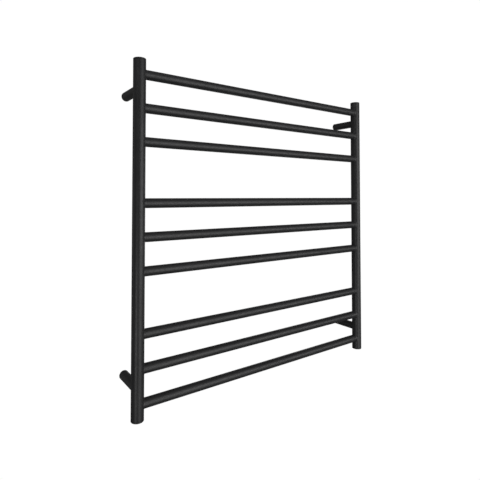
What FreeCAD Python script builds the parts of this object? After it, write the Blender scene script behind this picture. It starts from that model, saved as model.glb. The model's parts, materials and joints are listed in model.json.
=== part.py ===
import FreeCAD, Part
import math
import os

import Sketcher

# Ladder towel warmer rack for a wall: two round uprights, nine round rungs in three groups of three,
# and four short tubular bracket legs that slip over bosses screwed to the wall. A heating cable
# snakes through the rungs and is wired up inside the lower left leg.
#
# Frame, in millimetres: X to the right as a person faces the rack, Y towards the wall, Z up.
# The origin is the middle of the four wall screws, in the wall plane.

# ---------------------------------------------------------------- driving dimensions

SIZES = {
    "rail_height": 894,           # over the end caps
    "upright_spacing": 828,       # between the axes of the uprights
    "upright_diameter": 32,
    "upright_wall": 1.5,
    "rung_diameter": 25,
    "rung_wall": 1.2,
    "rung_pitch": 85,             # between rungs of one group
    "group_gap": 154,             # between the nearest rungs of two groups
    "leg_reach": 97,              # from the wall plane to the axes of the uprights
    "leg_inset": 77,              # from an end of the rack to the axis of a leg
    "leg_diameter": 25,
    "leg_wall": 2,
    "leg_shadow_gap": 0.5,        # the leg stops this far short of the wall
    "cap_flange": 5,
    "cap_spigot": 12,
    "cap_wall": 1.5,
    "cap_edge": 1,                # radius of the rounded rim
    "cap_seam": 0.5,              # chamfer that leaves a thin groove where the cap meets its tube
    "boss_length": 25,
    "boss_clearance": 0.15,       # radial, between boss and leg
    "boss_chamfer": 1,
    "groove_depth": 1.6,          # turned groove that the grub screw seats in
    "groove_width": 7,
    "fixing_hole": 5,
    "fixing_sink": 8.8,           # countersink mouth
    "wiring_slot_width": 7,
    "wiring_slot_floor": 4.6,     # height of the slot's floor above the boss axis
    "grub_inset": 12,             # from the wall plane to the axis of the grub screw
    "grub_diameter": 5,
    "grub_length": 4,
    "grub_socket": 2.5,           # across flats
    "grub_socket_depth": 2,
    "grub_chamfer": 0.5,
    "earth_thread": 3,
    "earth_hole_depth": 6,
    "earth_offset": 7.2,          # below the boss axis
    "earth_head": 4.8,
    "earth_head_height": 1.8,
    "earth_shank": 5,
    "earth_driver_slot": 0.8,
    "tag_thickness": 0.8,
    "tag_ring": 5.2,
    "tag_hole": 3.2,
    "tag_tab": 2.4,
    "tag_barrel": 2.8,
    "tag_barrel_length": 6,
    "cable_diameter": 5,
    "cable_bend": 22,             # where the cable turns from one rung to the next
    "cable_entry_bend": 14,       # where it comes out of the leg and into the lowest rung
    "cable_upright_offset": 8,    # the cable keeps to the outer side of each upright
    "cable_entry_hole": 12,
    "cable_end_inset": 40,        # from the axis of the right upright to the cable's sealed end
    "cable_rest_gap": 0.1,
    "seal_diameter": 6.6,
    "seal_length": 20,
    "seal_overlap": 14,           # length of cable inside the seal
    "plug_length": 16,
    "plug_to_wall": 62,           # from the wall plane to the plug's near face
    "plug_cable_depth": 10,
    "plug_core_depth": 4,
    "core_diameter": 1.8,
    "core_offset": 3.6,           # live and neutral cores, sideways and up from the leg axis
    "earth_core_offset": 4.2,     # earth core, sideways from the leg axis
    "crimp_diameter": 4,
    "crimp_length": 12,
    "crimp_to_wall": 28,
    "crimp_clearance": 0.1,
    "wire_grip": 4,               # how far a core or lead reaches into its crimp or tag
    "fuse_diameter": 4,
    "fuse_length": 10,
    "fuse_taper": 1.5,
    "fuse_lead": 1.2,
    "fuse_lead_length": 8,
    "grommet_length": 8,
    "grommet_bore": 4.4,
    "grommet_bore_height": 7.45,  # above the boss axis
}
GROUPS = 3
RUNGS_PER_GROUP = 3

doc = FreeCAD.newDocument("towel_warmer_rack")
sheet = doc.addObject("Spreadsheet::Sheet", "Sizes")
for row, (alias, value) in enumerate(SIZES.items(), start=1):
    sheet.set(f"A{row}", alias.replace("_", " "))
    sheet.set(f"B{row}", str(value))
    sheet.setAlias(f"B{row}", alias)
doc.recompute()


class Size:
    """A length that knows both its value and the spreadsheet expression behind it."""

    def __init__(self, value, text):
        self.value = value
        self.text = text

    def __add__(self, other):
        return Size(self.value + other.value, f"({self.text} + {other.text})")

    def __sub__(self, other):
        return Size(self.value - other.value, f"({self.text} - {other.text})")

    def __mul__(self, factor):
        return Size(self.value * factor, f"({factor:.9f} * {self.text})")

    def __truediv__(self, divisor):
        return self * (1 / divisor)

    def __neg__(self):
        return self * -1


def cell(alias):
    """The sheet's cell of that name, as a Size."""
    return Size(float(sheet.get(alias)), f"Sizes.{alias}")


# ---------------------------------------------------------------- derived dimensions

ZERO = Size(0, "0")
UPRIGHT_X = cell("upright_spacing") / 2
UPRIGHT_Y = -cell("leg_reach")
UPRIGHT_RADIUS = cell("upright_diameter") / 2
UPRIGHT_BORE = UPRIGHT_RADIUS - cell("upright_wall")
TUBE_END_Z = cell("rail_height") / 2 - cell("cap_flange")
RUNG_RADIUS = cell("rung_diameter") / 2
RUNG_BORE = RUNG_RADIUS - cell("rung_wall")
LEG_Z = cell("rail_height") / 2 - cell("leg_inset")
LEG_RADIUS = cell("leg_diameter") / 2
LEG_BORE = LEG_RADIUS - cell("leg_wall")
BOSS_RADIUS = LEG_BORE - cell("boss_clearance")
GROOVE_RADIUS = BOSS_RADIUS - cell("groove_depth")
CABLE_RADIUS = cell("cable_diameter") / 2
CABLE_DROP = RUNG_BORE - cell("seal_diameter") / 2 - cell("cable_rest_gap")
CORE_RADIUS = cell("core_diameter") / 2
CRIMP_BORE = CORE_RADIUS + cell("crimp_clearance")
TAG_FACE_Y = -(cell("boss_length") + cell("tag_thickness"))

SIDES = {"left": -UPRIGHT_X, "right": UPRIGHT_X}
LEVELS = {"top": LEG_Z, "bottom": -LEG_Z}
WIRED_X = SIDES["left"]
WIRED_Z = LEVELS["bottom"]


def rung_heights():
    """Rung axes from the highest to the lowest, spread evenly about mid-height."""
    group_stride = cell("rung_pitch") * (RUNGS_PER_GROUP - 1) + cell("group_gap")
    heights = []
    for group in range(GROUPS):
        for rung in range(RUNGS_PER_GROUP):
            groups_up = (GROUPS - 1) / 2 - group
            rungs_up = (RUNGS_PER_GROUP - 1) / 2 - rung
            heights.append(group_stride * groups_up + cell("rung_pitch") * rungs_up)
    return heights


RUNG_HEIGHTS = rung_heights()

# ---------------------------------------------------------------- modelling helpers

X_AXIS = FreeCAD.Vector(1, 0, 0)
Z_AXIS = FreeCAD.Vector(0, 0, 1)
UPSIDE_DOWN = FreeCAD.Rotation(X_AXIS, 180)
Z_TO_Y = FreeCAD.Rotation(X_AXIS, -90)
nodes = []


def bind(obj, prop, size):
    obj.setExpression(prop, size.text)


def place(obj, x=ZERO, y=ZERO, z=ZERO, turn=None):
    if turn:
        obj.Placement = FreeCAD.Placement(FreeCAD.Vector(), turn)
    bind(obj, "Placement.Base.x", x)
    bind(obj, "Placement.Base.y", y)
    bind(obj, "Placement.Base.z", z)


def keep(obj, label):
    """Names a finished sub-part and puts it on the list of nodes."""
    obj.Label = label
    nodes.append(obj)


def new_body(name):
    return doc.addObject("PartDesign::Body", name)


def new_sketch(body, plane, offset=None):
    """A sketch on one of the body's own origin planes, offset along the plane's normal."""
    sketch = body.newObject("Sketcher::SketchObject", "Sketch")
    support = next(f for f in body.Origin.OriginFeatures if f.Role == plane + "_Plane")
    sketch.AttachmentSupport = [(support, "")]
    sketch.MapMode = "FlatFace"
    if offset:
        bind(sketch, "AttachmentOffset.Base.z", offset)
    return sketch


def constrain(sketch, kind, size, *elements):
    index = sketch.addConstraint(Sketcher.Constraint(kind, *elements, size.value))
    bind(sketch, f"Constraints[{index}]", size)


def add_circle(sketch, radius, x=ZERO, y=ZERO):
    centre = FreeCAD.Vector(x.value, y.value, 0)
    circle = sketch.addGeometry(Part.Circle(centre, Z_AXIS, radius.value))
    constrain(sketch, "Radius", radius, circle)
    constrain(sketch, "DistanceX", x, -1, 1, circle, 3)
    constrain(sketch, "DistanceY", y, -1, 1, circle, 3)


def add_outline(sketch, corners):
    """A closed outline of straight lines with each corner held by the sheet."""
    points = [FreeCAD.Vector(x.value, y.value, 0) for x, y in corners]
    lines = []
    for start, end in zip(points, points[1:] + points[:1]):
        lines.append(sketch.addGeometry(Part.LineSegment(start, end)))
    lines_before = lines[-1:] + lines[:-1]
    for line, line_before, (x, y) in zip(lines, lines_before, corners):
        sketch.addConstraint(Sketcher.Constraint("Coincident", line_before, 2, line, 1))
        constrain(sketch, "DistanceX", x, -1, 1, line, 1)
        constrain(sketch, "DistanceY", y, -1, 1, line, 1)


def pad(body, sketch, length, both_ways=False, reverse=False):
    feature = body.newObject("PartDesign::Pad", "Pad")
    feature.Profile = sketch
    feature.SideType = "Symmetric" if both_ways else "One side"
    feature.Reversed = reverse
    bind(feature, "Length", length)
    doc.recompute()


def pocket(body, sketch, length, both_ways=False, reverse=False):
    """Cuts the sketch out of the body, and stops the build if the cut missed the solid."""
    before = body.Shape.Volume
    feature = body.newObject("PartDesign::Pocket", "Pocket")
    feature.Profile = sketch
    feature.SideType = "Symmetric" if both_ways else "One side"
    feature.Reversed = reverse
    bind(feature, "Length", length)
    doc.recompute()
    if body.Shape.Volume >= before:
        raise RuntimeError(f"{body.Label}: a pocket removed nothing")


def revolve(body, sketch, axis):
    feature = body.newObject("PartDesign::Revolution", "Revolution")
    feature.Profile = sketch
    feature.ReferenceAxis = (sketch, [axis])
    feature.Angle = 360
    doc.recompute()


def turned_body(name, plane, axis, corners):
    """A lathe-turned body: a closed half outline revolved about one axis of its sketch."""
    body = new_body(name)
    sketch = new_sketch(body, plane)
    add_outline(sketch, corners)
    revolve(body, sketch, axis)
    return body


def tube_body(name, plane, outer, inner, length, both_ways=False, reverse=False):
    body = new_body(name)
    sketch = new_sketch(body, plane)
    add_circle(sketch, outer)
    add_circle(sketch, inner)
    pad(body, sketch, length, both_ways, reverse)
    return body


def cylinder(name, radius, length, x, y, z):
    """A plain round solid that runs from its placement towards the wall."""
    solid = doc.addObject("Part::Cylinder", name)
    bind(solid, "Radius", radius)
    bind(solid, "Height", length)
    place(solid, x, y, z, Z_TO_Y)
    return solid


def box(name, width, depth, height, x, y, z):
    solid = doc.addObject("Part::Box", name)
    bind(solid, "Length", width)
    bind(solid, "Width", depth)
    bind(solid, "Height", height)
    place(solid, x, y, z)
    return solid


def cut(name, base, tool):
    result = doc.addObject("Part::Cut", name)
    result.Base = base
    result.Tool = tool
    return result


def group(label, members):
    """Several separate solids under one node."""
    compound = doc.addObject("Part::Compound", label)
    compound.Links = members
    keep(compound, label)


# ---------------------------------------------------------------- uprights and rungs


def make_upright(side):
    """A tube with an opening in its inner side at each rung, where the rung is welded on."""
    tube_length = TUBE_END_Z * 2
    body = tube_body(f"{side}_upright", "XY", UPRIGHT_RADIUS, UPRIGHT_BORE, tube_length, both_ways=True)
    openings = new_sketch(body, "YZ")
    for height in RUNG_HEIGHTS:
        add_circle(openings, RUNG_BORE, ZERO, height)
    pocket(body, openings, cell("upright_diameter"), reverse=(side == "left"))
    if side == "left":
        entry = new_sketch(body, "XZ")
        add_circle(entry, cell("cable_entry_hole") / 2, ZERO, WIRED_Z)
        pocket(body, entry, cell("upright_diameter"))
    place(body, SIDES[side], UPRIGHT_Y)
    keep(body, f"{side}_upright")


def make_rung(number, height):
    """A tube whose ends are coped to the round of the uprights."""
    length = cell("upright_spacing")
    body = tube_body(f"rung_{number}", "YZ", RUNG_RADIUS, RUNG_BORE, length, both_ways=True)
    cope = new_sketch(body, "XY")
    for side_x in SIDES.values():
        add_circle(cope, UPRIGHT_RADIUS, side_x)
    pocket(body, cope, cell("rung_diameter") * 2, both_ways=True)
    place(body, ZERO, UPRIGHT_Y, height)
    keep(body, f"rung_{number}")


def make_cap(level, side):
    """A flanged cap with a hollow spigot pressed into the end of an upright."""
    spigot_bore = UPRIGHT_BORE - cell("cap_wall")
    body = turned_body(f"{level}_{side}_cap", "XZ", "V_Axis", [
        (ZERO, ZERO),
        (spigot_bore, ZERO),
        (spigot_bore, -cell("cap_spigot")),
        (UPRIGHT_BORE, -cell("cap_spigot")),
        (UPRIGHT_BORE, ZERO),
        (UPRIGHT_RADIUS - cell("cap_seam"), ZERO),
        (UPRIGHT_RADIUS, cell("cap_seam")),
        (UPRIGHT_RADIUS, cell("cap_flange")),
        (ZERO, cell("cap_flange")),
    ])
    blank = body.Tip
    outer_face_z = cell("cap_flange").value
    sharp_rim = next(
        index for index, edge in enumerate(blank.Shape.Edges, start=1)
        if edge.BoundBox.ZMin > outer_face_z / 2 and edge.BoundBox.XLength > UPRIGHT_RADIUS.value
    )
    fillet = body.newObject("PartDesign::Fillet", "Fillet")
    fillet.Base = (blank, [f"Edge{sharp_rim}"])
    bind(fillet, "Radius", cell("cap_edge"))
    doc.recompute()
    turn = UPSIDE_DOWN if level == "bottom" else None
    end_z = TUBE_END_Z if level == "top" else -TUBE_END_Z
    place(body, SIDES[side], UPRIGHT_Y, end_z, turn)
    keep(body, f"{level}_{side}_cap")


# ---------------------------------------------------------------- wall brackets


def make_leg(level, side):
    """A tube coped and welded to the back of an upright, with a tapped hole underneath."""
    length = cell("leg_reach") - cell("leg_shadow_gap")
    body = tube_body(f"{level}_{side}_leg", "XZ", LEG_RADIUS, LEG_BORE, length, reverse=True)
    cope = new_sketch(body, "XY")
    add_circle(cope, UPRIGHT_RADIUS)
    pocket(body, cope, cell("leg_diameter") * 2, both_ways=True)
    tapping = new_sketch(body, "XY")
    add_circle(tapping, cell("grub_diameter") / 2, ZERO, cell("leg_reach") - cell("grub_inset"))
    pocket(body, tapping, cell("leg_diameter"))
    place(body, SIDES[side], UPRIGHT_Y, LEVELS[level])
    keep(body, f"{level}_{side}_bracket_leg")


def make_boss(level, side):
    """A turned boss for one countersunk wall screw, with a wiring slot along its top."""
    inner_end = -cell("boss_length")
    hole = cell("fixing_hole") / 2
    sink = cell("fixing_sink") / 2
    groove_near = cell("groove_width") / 2 - cell("grub_inset")
    groove_far = -cell("groove_width") / 2 - cell("grub_inset")
    chamfer = cell("boss_chamfer")
    body = turned_body(f"{level}_{side}_boss", "XY", "V_Axis", [
        (hole, ZERO),
        (BOSS_RADIUS, ZERO),
        (BOSS_RADIUS, groove_near),
        (GROOVE_RADIUS, groove_near),
        (GROOVE_RADIUS, groove_far),
        (BOSS_RADIUS, groove_far),
        (BOSS_RADIUS, inner_end + chamfer),
        (BOSS_RADIUS - chamfer, inner_end),
        (sink, inner_end),
        (hole, inner_end + (sink - hole)),
    ])
    half_slot = cell("wiring_slot_width") / 2
    slot = new_sketch(body, "XZ")
    add_outline(slot, [
        (-half_slot, cell("wiring_slot_floor")),
        (half_slot, cell("wiring_slot_floor")),
        (half_slot, LEG_RADIUS),
        (-half_slot, LEG_RADIUS),
    ])
    pocket(body, slot, cell("boss_length"), reverse=True)
    tapping = new_sketch(body, "XZ", offset=cell("boss_length"))
    add_circle(tapping, cell("earth_thread") / 2, ZERO, -cell("earth_offset"))
    pocket(body, tapping, cell("earth_hole_depth"))
    place(body, SIDES[side], ZERO, LEVELS[level])
    keep(body, f"{level}_{side}_wall_boss")


def make_grub_screw(level, side):
    """A socket set screw through the underside of a leg, its flat tip in the boss's groove."""
    thread = cell("grub_diameter") / 2
    chamfer = cell("grub_chamfer")
    tip = -GROOVE_RADIUS
    outer_end = tip - cell("grub_length")
    body = turned_body(f"{level}_{side}_grub_screw", "XZ", "V_Axis", [
        (ZERO, tip),
        (thread - chamfer, tip),
        (thread, tip - chamfer),
        (thread, outer_end),
        (ZERO, outer_end),
    ])
    socket = new_sketch(body, "XY", offset=outer_end)
    corner = cell("grub_socket") / math.sqrt(3)
    angles = [math.radians(60 * step) for step in range(6)]
    add_outline(socket, [(corner * math.cos(angle), corner * math.sin(angle)) for angle in angles])
    pocket(body, socket, cell("grub_socket_depth"), reverse=True)
    place(body, SIDES[side], -cell("grub_inset"), LEVELS[level])
    return body


# ---------------------------------------------------------------- heating cable


def cable_route():
    """Corners of the cable's centre line, each with the radius that rounds it."""
    in_rung = [height - CABLE_DROP for height in reversed(RUNG_HEIGHTS)]
    entry_bend = cell("cable_entry_bend")
    bend = cell("cable_bend")
    outer = {side: x + cell("cable_upright_offset") * (1 if side == "right" else -1)
             for side, x in SIDES.items()}
    start_y = -cell("plug_to_wall") - cell("plug_length") + cell("plug_cable_depth")
    route = [
        ((WIRED_X, start_y, WIRED_Z), None),
        ((WIRED_X, UPRIGHT_Y, WIRED_Z), entry_bend),
        ((WIRED_X, UPRIGHT_Y, in_rung[0]), entry_bend),
    ]
    side = "right"
    for below, above in zip(in_rung, in_rung[1:]):
        route.append(((outer[side], UPRIGHT_Y, below), bend))
        route.append(((outer[side], UPRIGHT_Y, above), bend))
        side = "left" if side == "right" else "right"
    end_x = UPRIGHT_X - cell("cable_end_inset")
    route.append(((end_x, UPRIGHT_Y, in_rung[-1]), None))
    return [(FreeCAD.Vector(*[axis.value for axis in point]), radius) for point, radius in route]


def rounded_path(route):
    """Straight runs joined by tangent arcs, one at each inner corner of the route."""
    edges = []
    reached = route[0][0]
    for (before, _), (corner, bend), (after, _) in zip(route, route[1:], route[2:]):
        arriving = (corner - before).normalize()
        leaving = (after - corner).normalize()
        half_turn = arriving.getAngle(leaving) / 2
        setback = bend.value * math.tan(half_turn)
        arc_start = corner - arriving * setback
        arc_end = corner + leaving * setback
        bulge = (leaving - arriving).normalize() * (bend.value / math.cos(half_turn) - bend.value)
        edges.append(Part.makeLine(reached, arc_start))
        edges.append(Part.Arc(arc_start, corner + bulge, arc_end).toShape())
        reached = arc_end
    edges.append(Part.makeLine(reached, route[-1][0]))
    return Part.Wire(edges)


def make_heating_cable():
    """One cable from the lower left leg through every rung, from the lowest to the highest."""
    route = cable_route()
    path = rounded_path(route)
    first_run = route[1][0] - route[0][0]
    section = Part.Wire(Part.makeCircle(CABLE_RADIUS.value, route[0][0], first_run))
    solid = path.makePipeShell([section], True, True)
    expected = math.pi * CABLE_RADIUS.value ** 2 * path.Length
    print(f"heating cable: {path.Length:.0f} mm long, volume {solid.Volume / expected:.5f} of the expected")
    cable = doc.addObject("Part::Feature", "heating_cable")
    cable.Shape = solid
    cable.Placement = FreeCAD.Placement()
    keep(cable, "heating_cable")


def make_end_seal():
    """A moulded boot over the cable's far end, inside the highest rung."""
    outer = cell("seal_diameter") / 2
    tip = cell("seal_length") - cell("seal_overlap")
    chamfer = outer / 2
    body = turned_body("cable_end_seal", "XY", "H_Axis", [
        (-cell("seal_overlap"), CABLE_RADIUS),
        (ZERO, CABLE_RADIUS),
        (ZERO, ZERO),
        (tip, ZERO),
        (tip, outer - chamfer),
        (tip - chamfer, outer),
        (-cell("seal_overlap"), outer),
    ])
    place(body, UPRIGHT_X - cell("cable_end_inset"), UPRIGHT_Y, RUNG_HEIGHTS[0] - CABLE_DROP)
    keep(body, "cable_end_seal")


# ---------------------------------------------------------------- wiring in the lower left leg


def make_cold_end_plug():
    """A moulded plug that fills the leg where the cable ends and its three cores begin."""
    body = new_body("cold_end_plug")
    outline = new_sketch(body, "XZ")
    add_circle(outline, BOSS_RADIUS)
    pad(body, outline, cell("plug_length"))
    cable_hole = new_sketch(body, "XZ", offset=cell("plug_length"))
    add_circle(cable_hole, CABLE_RADIUS)
    pocket(body, cable_hole, cell("plug_cable_depth"))
    core_holes = new_sketch(body, "XZ")
    add_circle(core_holes, CORE_RADIUS, -cell("core_offset"), cell("core_offset"))
    add_circle(core_holes, CORE_RADIUS, cell("core_offset"), cell("core_offset"))
    add_circle(core_holes, CORE_RADIUS, cell("earth_core_offset"), -cell("earth_offset"))
    pocket(body, core_holes, cell("plug_core_depth"), reverse=True)
    place(body, WIRED_X, -cell("plug_to_wall"), WIRED_Z)
    keep(body, "cold_end_plug")


def make_cores():
    """Three insulated cores that leave the plug towards the wall."""
    start = -cell("plug_to_wall") - cell("plug_core_depth")
    crimped = -cell("crimp_to_wall") - cell("crimp_length") + cell("wire_grip")
    fuse_start = crimped - cell("fuse_lead_length") - cell("fuse_length")
    tagged = TAG_FACE_Y - cell("tag_barrel_length") + cell("wire_grip")
    cores = {
        "live_core": (cell("core_offset"), cell("core_offset"), fuse_start),
        "neutral_core": (-cell("core_offset"), cell("core_offset"), crimped),
        "earth_core": (cell("earth_core_offset"), -cell("earth_offset"), tagged),
    }
    for name, (across, up, end) in cores.items():
        keep(cylinder(name, CORE_RADIUS, end - start, WIRED_X + across, start, WIRED_Z + up), name)
    make_thermal_fuse(fuse_start)


def make_thermal_fuse(start):
    """A one-shot thermal cut-out in line with the live core, its lead reaching into the crimp."""
    body_radius = cell("fuse_diameter") / 2
    lead_radius = cell("fuse_lead") / 2
    length = cell("fuse_length")
    body = turned_body("thermal_fuse", "XY", "V_Axis", [
        (ZERO, ZERO),
        (body_radius, ZERO),
        (body_radius, length - cell("fuse_taper")),
        (lead_radius, length),
        (lead_radius, length + cell("fuse_lead_length")),
        (ZERO, length + cell("fuse_lead_length")),
    ])
    place(body, WIRED_X + cell("core_offset"), start, WIRED_Z + cell("core_offset"))
    keep(body, "thermal_fuse")


def make_crimp_sleeves():
    """Two crimps that wait for the supply's live and neutral wires."""
    start = -cell("crimp_to_wall") - cell("crimp_length")
    sleeves = []
    for across in (-cell("core_offset"), cell("core_offset")):
        where = (WIRED_X + across, start, WIRED_Z + cell("core_offset"))
        sleeve = cylinder("sleeve", cell("crimp_diameter") / 2, cell("crimp_length"), *where)
        bore = cylinder("sleeve_bore", CRIMP_BORE, cell("crimp_length"), *where)
        sleeves.append(cut("crimp_sleeve", sleeve, bore))
    group("crimp_sleeves", sleeves)


def make_earth_tag():
    """A ring tag on the boss's inner face, with a barrel for the earth core."""
    thickness = cell("tag_thickness")
    screw_z = WIRED_Z - cell("earth_offset")
    barrel_x = WIRED_X + cell("earth_core_offset")
    barrel_y = TAG_FACE_Y - cell("tag_barrel_length")
    ring = cylinder("tag_ring", cell("tag_ring") / 2, thickness, WIRED_X, TAG_FACE_Y, screw_z)
    tab = box("tag_tab", cell("earth_core_offset"), thickness, cell("tag_tab"),
              WIRED_X, TAG_FACE_Y, screw_z - cell("tag_tab") / 2)
    barrel_length = cell("tag_barrel_length") + thickness
    barrel = cylinder("tag_barrel", cell("tag_barrel") / 2, barrel_length, barrel_x, barrel_y, screw_z)
    blank = doc.addObject("Part::MultiFuse", "tag_blank")
    blank.Shapes = [ring, tab, barrel]
    screw_hole = cylinder("tag_screw_hole", cell("tag_hole") / 2, thickness, WIRED_X, TAG_FACE_Y, screw_z)
    core_hole = cylinder("tag_core_hole", CORE_RADIUS, cell("wire_grip"), barrel_x, barrel_y, screw_z)
    keep(cut("earth_tag", cut("tag_drilled", blank, screw_hole), core_hole), "earth_tag")


def make_earth_screw():
    """A small slotted screw that clamps the tag to the boss."""
    head = cell("earth_head") / 2
    height = cell("earth_head_height")
    shank = cell("earth_thread") / 2
    body = turned_body("earth_screw", "XY", "V_Axis", [
        (ZERO, -height),
        (head, -height),
        (head, ZERO),
        (shank, ZERO),
        (shank, cell("earth_shank")),
        (ZERO, cell("earth_shank")),
    ])
    half_slot = cell("earth_driver_slot") / 2
    slot = new_sketch(body, "XZ", offset=height)
    add_outline(slot, [(-head, -half_slot), (head, -half_slot), (head, half_slot), (-head, half_slot)])
    pocket(body, slot, height / 2)
    place(body, WIRED_X, TAG_FACE_Y, WIRED_Z - cell("earth_offset"))
    keep(body, "earth_screw")


def make_supply_grommet():
    """A rubber liner in the wiring slot of the wired boss, where the supply comes out of the wall."""
    length = cell("grommet_length")
    width = cell("wiring_slot_width")
    floor = cell("wiring_slot_floor")
    block = box("grommet_block", width, length, BOSS_RADIUS - floor,
                WIRED_X - width / 2, -length, WIRED_Z + floor)
    rounding = cylinder("grommet_rounding", BOSS_RADIUS, length, WIRED_X, -length, WIRED_Z)
    rounded = doc.addObject("Part::Common", "grommet_rounded")
    rounded.Base = block
    rounded.Tool = rounding
    bore = cylinder("grommet_bore", cell("grommet_bore") / 2, length,
                    WIRED_X, -length, WIRED_Z + cell("grommet_bore_height"))
    keep(cut("supply_grommet", rounded, bore), "supply_grommet")


# ---------------------------------------------------------------- the rack

for side in SIDES:
    make_upright(side)
for number, height in enumerate(RUNG_HEIGHTS, start=1):
    make_rung(number, height)
for level in LEVELS:
    for side in SIDES:
        make_cap(level, side)
        make_leg(level, side)
        make_boss(level, side)
group("bracket_grub_screws", [make_grub_screw(level, side) for level in LEVELS for side in SIDES])
make_heating_cable()
make_end_seal()
make_cold_end_plug()
make_cores()
make_crimp_sleeves()
make_earth_tag()
make_earth_screw()
make_supply_grommet()
doc.recompute()

# ---------------------------------------------------------------- checks and export

for obj in doc.Objects:
    if "Invalid" in obj.State or "Error" in obj.State:
        raise RuntimeError(f"{obj.Label}: state {obj.State}")
for node in nodes:
    if node.Shape.isNull() or not node.Shape.isValid() or not node.Shape.Solids:
        raise RuntimeError(f"{node.Label}: no valid shape")

os.makedirs("parts", exist_ok=True)
for node in nodes:
    node.Shape.exportStep(f"parts/{node.Label}.step")
    print(f"{node.Label}: {len(node.Shape.Solids)} solid(s), {node.Shape.Volume:.1f} mm3")
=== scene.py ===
import json
import math

import bmesh
import bpy
from mathutils import Euler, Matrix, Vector


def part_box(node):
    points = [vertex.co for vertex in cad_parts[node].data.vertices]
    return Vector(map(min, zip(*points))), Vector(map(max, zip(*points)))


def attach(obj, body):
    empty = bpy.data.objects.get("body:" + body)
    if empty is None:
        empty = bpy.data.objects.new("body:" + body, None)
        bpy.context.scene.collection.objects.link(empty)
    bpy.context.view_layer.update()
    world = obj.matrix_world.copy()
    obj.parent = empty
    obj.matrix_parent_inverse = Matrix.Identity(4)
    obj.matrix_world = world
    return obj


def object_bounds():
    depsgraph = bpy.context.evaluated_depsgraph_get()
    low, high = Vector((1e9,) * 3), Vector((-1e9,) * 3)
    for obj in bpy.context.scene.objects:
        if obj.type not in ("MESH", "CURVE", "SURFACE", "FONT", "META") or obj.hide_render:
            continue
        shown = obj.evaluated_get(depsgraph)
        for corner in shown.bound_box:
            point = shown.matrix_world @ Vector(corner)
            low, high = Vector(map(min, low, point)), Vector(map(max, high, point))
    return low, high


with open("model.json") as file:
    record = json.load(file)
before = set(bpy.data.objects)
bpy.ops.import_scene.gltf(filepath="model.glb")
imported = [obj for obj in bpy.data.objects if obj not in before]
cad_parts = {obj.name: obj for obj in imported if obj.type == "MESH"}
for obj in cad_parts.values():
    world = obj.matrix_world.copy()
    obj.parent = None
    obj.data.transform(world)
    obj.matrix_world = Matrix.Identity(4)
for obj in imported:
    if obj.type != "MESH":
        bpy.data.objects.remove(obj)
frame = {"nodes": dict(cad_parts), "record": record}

# Looks for the ladder towel warmer rack: satin black powder coat on round tube, weld fillets where
# tubes meet, plated bosses and screws at the wall, and a silicone heating cable inside the tubes.
# Everything is in metres in the frame's own axes: X right, Y into the wall, Z up.

CAD_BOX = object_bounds()
NODES = frame["nodes"]
SIDES = ("left", "right")
LEVELS = ("top", "bottom")
RUNG_COUNT = sum(name.startswith("rung_") for name in NODES)
WHITE = (1, 1, 1, 1)
MM = 0.001                                # in metres

# ---------------------------------------------------------------- camera

EYE = Vector((-0.791, -1.062, 0.101))     # left of the rack and a little above its middle
HEADING = math.radians(35.38)             # from straight ahead towards the right
PITCH = math.radians(1.54)                # upwards
LENS_MM = 30.35
SENSOR_MM = 36
SHIFT_Y = -0.1126                         # the rack hangs below the line of sight
CLIP_START = 0.05


def make_camera():
    data = bpy.data.cameras.new("camera")
    data.lens = LENS_MM
    data.sensor_width = SENSOR_MM
    data.shift_y = SHIFT_Y
    data.clip_start = CLIP_START
    camera = bpy.data.objects.new("camera", data)
    camera.location = EYE
    camera.rotation_euler = Euler((math.pi / 2 + PITCH, 0, -HEADING))
    bpy.context.collection.objects.link(camera)
    bpy.context.scene.camera = camera


make_camera()

# ---------------------------------------------------------------- shader helpers

NOISE_LOW, NOISE_HIGH = 0.3, 0.7          # most of a noise's values lie between these
MIX_FIRST, MIX_SECOND, MIX_RESULT = 6, 7, 2    # a Mix node's colour sockets, two in and one out


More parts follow.
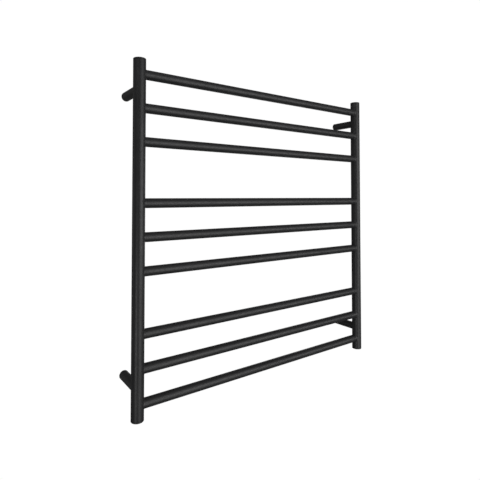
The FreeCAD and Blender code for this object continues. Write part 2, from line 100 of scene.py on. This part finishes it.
class Shader:
    """A new node material and short ways to add to it."""

    def __init__(self, name, colour, roughness, metallic=0.0):
        self.material = bpy.data.materials.new(name)
        self.material.use_nodes = True
        self.tree = self.material.node_tree
        self.surface = self.tree.nodes["Principled BSDF"]
        self.set("Base Color", (*colour, 1))
        self.set("Roughness", roughness)
        self.set("Metallic", metallic)
        self.place = self.node("ShaderNodeTexCoord").outputs["Object"]

    def set(self, socket, value):
        self.surface.inputs[socket].default_value = value

    def link(self, output, socket):
        self.tree.links.new(output, self.surface.inputs[socket])

    def node(self, kind, inputs=None, **settings):
        node = self.tree.nodes.new(kind)
        for name, value in settings.items():
            setattr(node, name, value)
        for socket, value in (inputs or {}).items():
            if isinstance(value, bpy.types.NodeSocket):
                self.tree.links.new(value, node.inputs[socket])
            else:
                node.inputs[socket].default_value = value
        return node

    def placed(self, centre=(0, 0, 0), stretch=(1, 1, 1)):
        """The surface's own coordinates, measured from centre and stretched along the axes."""
        moved = self.node("ShaderNodeVectorMath", {0: self.place, 1: centre}, operation="SUBTRACT")
        scaled = self.node("ShaderNodeVectorMath", {0: moved.outputs[0], 1: stretch}, operation="MULTIPLY")
        return scaled.outputs[0]

    def noise(self, scale, detail=3.0, stretch=(1, 1, 1)):
        inputs = {"Vector": self.placed(stretch=stretch), "Scale": scale, "Detail": detail}
        return self.node("ShaderNodeTexNoise", inputs).outputs["Fac"]

    def spread(self, value, low, high):
        """Maps the middle of a noise to the range from low to high."""
        ranges = {"From Min": NOISE_LOW, "From Max": NOISE_HIGH, "To Min": low, "To Max": high}
        return self.node("ShaderNodeMapRange", {"Value": value, **ranges}).outputs["Result"]

    def blend_colours(self, factor, first, second):
        node = self.node("ShaderNodeValToRGB", {"Fac": factor})
        node.color_ramp.elements[0].color = (*first, 1)
        node.color_ramp.elements[1].color = (*second, 1)
        return node.outputs["Color"]

    def vary_colour(self, noise, first, second):
        self.link(self.blend_colours(self.spread(noise, 0, 1), first, second), "Base Color")

    def vary_roughness(self, noise, low, high):
        self.link(self.spread(noise, low, high), "Roughness")

    def relief(self, *layers):
        """Stacks bump layers, each a height and its depth in metres."""
        normal = None
        for height, depth in layers:
            inputs = {"Height": height, "Strength": 1.0, "Distance": depth}
            if normal:
                inputs["Normal"] = normal
            normal = self.node("ShaderNodeBump", inputs).outputs["Normal"]
        self.link(normal, "Normal")


# ---------------------------------------------------------------- materials

GRAIN = 3.5                               # the powder's grain is this much finer than its pebbles
TARNISH = 0.08                            # how far a soft metal's roughness strays each way
YELLOW = (0.75, 0.6, 0.03, 1)
YELLOW_SHARE = 0.6                        # of the striped core's width


def powder_coat(name, pebble):
    """Satin black powder coat: a skin of fine pebbles, with faint patches of more and less gloss."""
    coat = Shader(name, (0.02, 0.02, 0.021), 0.42)
    coat.vary_colour(coat.noise(14, detail=4), (0.016, 0.016, 0.017), (0.023, 0.023, 0.024))
    coat.vary_roughness(coat.noise(60), 0.38, 0.46)
    grain = coat.noise(GRAIN * pebble, detail=2)
    coat.relief((coat.noise(pebble, detail=2), 0.07 * MM), (grain, 0.02 * MM))
    return coat.material


def plated_steel():
    """Bright zinc plate over turned steel: rings from the lathe along Y, and a cloudy bloom."""
    plate = Shader("zinc_plate", (0.62, 0.63, 0.65), 0.3, metallic=1.0)
    plate.vary_colour(plate.noise(120, detail=4), (0.55, 0.56, 0.59), (0.68, 0.69, 0.7))
    plate.vary_roughness(plate.noise(220), 0.26, 0.4)
    plate.relief((plate.noise(1, stretch=(0, 2500, 0)), 0.015 * MM), (plate.noise(1400), 0.01 * MM))
    return plate.material


def black_oxide():
    """Oiled black oxide on screws: nearly black metal, browner where the oxide is thin."""
    oxide = Shader("black_oxide", (0.05, 0.05, 0.055), 0.42, metallic=0.7)
    oxide.vary_colour(oxide.noise(700, detail=4), (0.035, 0.035, 0.04), (0.075, 0.068, 0.062))
    oxide.vary_roughness(oxide.noise(900), 0.34, 0.52)
    oxide.relief((oxide.noise(1, stretch=(0, 0, 5000)), 0.01 * MM), (oxide.noise(4000), 0.01 * MM))
    return oxide.material


def silicone():
    """Red-brown silicone cable jacket: matt, with faint drawing lines and a dusty bloom."""
    jacket = Shader("silicone", (0.36, 0.07, 0.04), 0.58)
    jacket.vary_colour(jacket.noise(45, detail=4), (0.32, 0.055, 0.032), (0.4, 0.09, 0.055))
    jacket.vary_roughness(jacket.noise(200), 0.5, 0.66)
    jacket.set("Sheen Weight", 0.15)
    jacket.relief((jacket.noise(1, stretch=(15, 1600, 1600)), 0.02 * MM), (jacket.noise(2500), 0.01 * MM))
    return jacket.material


def rubber():
    """Moulded black rubber: matt, slightly pitted, with a pale bloom in patches."""
    skin = Shader("rubber", (0.03, 0.03, 0.03), 0.68)
    skin.vary_colour(skin.noise(160, detail=5), (0.022, 0.022, 0.022), (0.042, 0.041, 0.039))
    skin.vary_roughness(skin.noise(300), 0.6, 0.76)
    skin.relief((skin.noise(900, detail=2), 0.05 * MM), (skin.noise(4000), 0.01 * MM))
    return skin.material


def insulation(name, dark, light, striped_node=None):
    """Drawn wire insulation with lines along Y. A striped node has a yellow band above and below."""
    sleeve = Shader(name, light, 0.42)
    tone = sleeve.blend_colours(sleeve.spread(sleeve.noise(350), 0, 1), dark, light)
    if striped_node:
        low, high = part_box(striped_node)
        across = sleeve.placed((Vector(low) + Vector(high)) / 2)
        offset = sleeve.node("ShaderNodeSeparateXYZ", {0: across}).outputs["X"]
        distance = sleeve.node("ShaderNodeMath", {0: offset}, operation="ABSOLUTE").outputs[0]
        limit = (high[0] - low[0]) * YELLOW_SHARE / 2
        band = sleeve.node("ShaderNodeMath", {0: distance, 1: limit}, operation="LESS_THAN").outputs[0]
        colours = {"Factor": band, MIX_FIRST: tone, MIX_SECOND: YELLOW}
        tone = sleeve.node("ShaderNodeMix", colours, data_type="RGBA").outputs[MIX_RESULT]
    sleeve.link(tone, "Base Color")
    sleeve.vary_roughness(sleeve.noise(500), 0.36, 0.5)
    sleeve.relief((sleeve.noise(1, stretch=(5000, 30, 5000)), 0.01 * MM), (sleeve.noise(3000), 0.01 * MM))
    return sleeve.material


def soft_metal(name, dull, bright, roughness):
    """Small stamped or drawn metal parts: tarnish in clouds, and fine scratches along Y."""
    metal = Shader(name, bright, roughness, metallic=1.0)
    metal.vary_colour(metal.noise(500, detail=4), dull, bright)
    metal.vary_roughness(metal.noise(800), roughness - TARNISH, roughness + TARNISH)
    metal.relief((metal.noise(1, stretch=(6000, 250, 6000)), 0.01 * MM), (metal.noise(1200), 0.02 * MM))
    return metal.material


MATERIALS = {
    "black_powder_coat": powder_coat("powder_coat", 750),
    "black_cap": powder_coat("cap_coat", 900),
    "zinc_plated_steel": plated_steel(),
    "black_screw_steel": black_oxide(),
    "cable_silicone": silicone(),
    "seal_rubber": rubber(),
    "core_brown": insulation("brown_insulation", (0.13, 0.045, 0.022), (0.19, 0.075, 0.038)),
    "core_blue": insulation("blue_insulation", (0.016, 0.1, 0.4), (0.025, 0.14, 0.5)),
    "core_green": insulation("green_insulation", (0.045, 0.32, 0.055), (0.075, 0.43, 0.085), "earth_core"),
    "fuse_metal": soft_metal("fuse_aluminium", (0.62, 0.62, 0.61), (0.78, 0.78, 0.76), 0.36),
    "tinned_crimp": soft_metal("tin_plate", (0.56, 0.55, 0.52), (0.72, 0.71, 0.68), 0.42),
    "tag_brass": soft_metal("brass", (0.6, 0.42, 0.17), (0.8, 0.63, 0.3), 0.34),
}


def paint_nodes():
    for part in frame["record"]["subparts"]:
        for material_slot in NODES[part["node"]].material_slots:
            material_slot.material = MATERIALS[part["material_slot"]]


paint_nodes()

# ---------------------------------------------------------------- welds

WELD_REACH = 1.8 * MM                     # along each of the two tubes that a weld joins
WELD_SINK = 0.1 * MM                      # its feet start under the tubes' surfaces
WELD_STEPS = 120                          # round the tube
WELD_PROFILE = 6                          # across the fillet's face
RIPPLES = 30
RIPPLE_HEIGHT = 0.08 * MM
UP = Vector((0, 0, 1))


def middle_and_radius(node, axis):
    """The middle of a tube's box, and half its width along an axis across the tube."""
    low, high = map(Vector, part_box(node))
    return (low + high) / 2, (high[axis] - low[axis]) / 2


def add_weld(bm, root, outward, upright_radius, tube_radius):
    """A concave fillet round a tube that leaves an upright from root, a point on the upright's axis."""
    sideways = UP.cross(outward)

    def saddle(angle, across, out_to):
        """A point on a circle round the tube's axis, as far out as the upright's surface there."""
        side, rise = across * math.cos(angle), across * math.sin(angle)
        return root + sideways * side + UP * rise + outward * math.sqrt(out_to ** 2 - side ** 2)

    sunk_tube, sunk_upright = tube_radius - WELD_SINK, upright_radius - WELD_SINK
    loops = []
    for step in range(WELD_STEPS):
        angle = 2 * math.pi * step / WELD_STEPS
        reach = WELD_REACH + RIPPLE_HEIGHT * math.sin(RIPPLES * angle)
        corner = saddle(angle, tube_radius, upright_radius)
        on_tube = saddle(angle, sunk_tube, upright_radius) + outward * reach
        on_upright = saddle(angle, tube_radius + reach, sunk_upright)
        points = [saddle(angle, sunk_tube, sunk_upright)]
        for index in range(WELD_PROFILE + 1):
            t = index / WELD_PROFILE
            points.append(on_tube * (1 - t) ** 2 + corner * 2 * t * (1 - t) + on_upright * t ** 2)
        loops.append([bm.verts.new(point) for point in points])
    for here, after in zip(loops, loops[1:] + loops[:1]):
        for index in range(len(here)):
            bm.faces.new((here[index - 1], here[index], after[index], after[index - 1])).smooth = True


def finish_welds(name, bm):
    bmesh.ops.recalc_face_normals(bm, faces=bm.faces)
    mesh = bpy.data.meshes.new(name)
    bm.to_mesh(mesh)
    bm.free()
    mesh.materials.append(MATERIALS["black_powder_coat"])
    welds = bpy.data.objects.new(name, mesh)
    bpy.context.collection.objects.link(welds)
    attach(welds, "root")


def make_welds():
    """Fillets where the rungs and the bracket legs meet each upright."""
    for side, inward in zip(SIDES, (1, -1)):
        upright, upright_radius = middle_and_radius(f"{side}_upright", 0)
        rung_welds, leg_welds = bmesh.new(), bmesh.new()
        for number in range(1, RUNG_COUNT + 1):
            rung, rung_radius = middle_and_radius(f"rung_{number}", 2)
            root = Vector((upright.x, upright.y, rung.z))
            add_weld(rung_welds, root, Vector((inward, 0, 0)), upright_radius, rung_radius)
        for level in LEVELS:
            leg, leg_radius = middle_and_radius(f"{level}_{side}_bracket_leg", 0)
            root = Vector((upright.x, upright.y, leg.z))
            add_weld(leg_welds, root, Vector((0, 1, 0)), upright_radius, leg_radius)
        finish_welds(f"{side}_rung_welds", rung_welds)
        finish_welds(f"{side}_leg_welds", leg_welds)


make_welds()

# ---------------------------------------------------------------- stage and light

FLOOR_DROP = 0.35                         # below the rack
FLOOR_SIZE = 24
BACKDROP = 1.01                           # brightness of the white floor and backdrop
LIGHT_DISTANCE = 3                        # from the middle of the rack
FILL = 0.1                                # even light from all round

# Softboxes all round the rack: azimuth from the front towards the right and elevation, in degrees,
# width and height in metres, and radiance. None stands within 30 degrees of straight behind, where
# the left bracket legs would mirror it to the camera.
SOFTBOXES = {
    "key": (26, 0, 2.9, 1.3, 2.5),
    "key_high": (24, 26, 2.4, 1.2, 0.9),
    "key_low": (10, -26, 2.2, 1.1, 1.6),
    "left_strip": (-54, -20, 0.7, 1.0, 4.2),
    "left_high": (-70, 50, 1.6, 1.3, 2.5),
    "overhead": (-20, 76, 1.8, 1.5, 0.5),
    "right_side": (98, 0, 1.0, 1.6, 0.65),
    "rear_left": (240, 0, 1.4, 1.8, 0.35),
    "rear_right": (135, -4, 1.3, 2.4, 1.0),
}


def make_floor():
    """A white floor that glows as evenly as the backdrop, so that the two meet without a line."""
    low = CAD_BOX[0][2] - FLOOR_DROP
    half = FLOOR_SIZE / 2
    mesh = bpy.data.meshes.new("floor")
    corners = [(-half, -half, low), (half, -half, low), (half, half, low), (-half, half, low)]
    mesh.from_pydata(corners, [], [(0, 1, 2, 3)])
    floor = bpy.data.objects.new("floor", mesh)
    bpy.context.collection.objects.link(floor)
    shader = Shader("floor", (0, 0, 0), 1)
    shader.set("Specular IOR Level", 0)
    shader.set("Emission Color", WHITE)
    shader.set("Emission Strength", BACKDROP)
    mesh.materials.append(shader.material)
    floor.visible_glossy = False
    floor.visible_diffuse = False
    floor.visible_shadow = False


def make_world():
    """White behind the rack, and a dim even fill from all round."""
    world = bpy.data.worlds.new("studio")
    bpy.context.scene.world = world
    world.use_nodes = True
    tree = world.node_tree
    background = tree.nodes["Background"]
    seen = tree.nodes.new("ShaderNodeLightPath").outputs["Is Camera Ray"]
    level = tree.nodes.new("ShaderNodeMapRange")
    level.inputs["To Min"].default_value = FILL
    level.inputs["To Max"].default_value = BACKDROP
    tree.links.new(seen, level.inputs["Value"])
    tree.links.new(level.outputs["Result"], background.inputs["Strength"])
    background.inputs["Color"].default_value = WHITE


def add_softbox(name, azimuth, elevation, width, height, radiance):
    data = bpy.data.lights.new(name, "AREA")
    data.shape = "RECTANGLE"
    data.size = width
    data.size_y = height
    data.energy = math.pi * width * height * radiance
    light = bpy.data.objects.new(name, data)
    around, up = math.radians(azimuth), math.radians(elevation)
    outward = Vector((math.sin(around) * math.cos(up), -math.cos(around) * math.cos(up), math.sin(up)))
    middle = (Vector(CAD_BOX[0]) + Vector(CAD_BOX[1])) / 2
    light.location = middle + outward * LIGHT_DISTANCE
    light.rotation_euler = (-outward).to_track_quat("-Z", "Y").to_euler()
    light.visible_camera = False
    bpy.context.collection.objects.link(light)


make_floor()
make_world()
for name, settings in SOFTBOXES.items():
    add_softbox(name, *settings)
bpy.context.scene.view_settings.view_transform = "Standard"
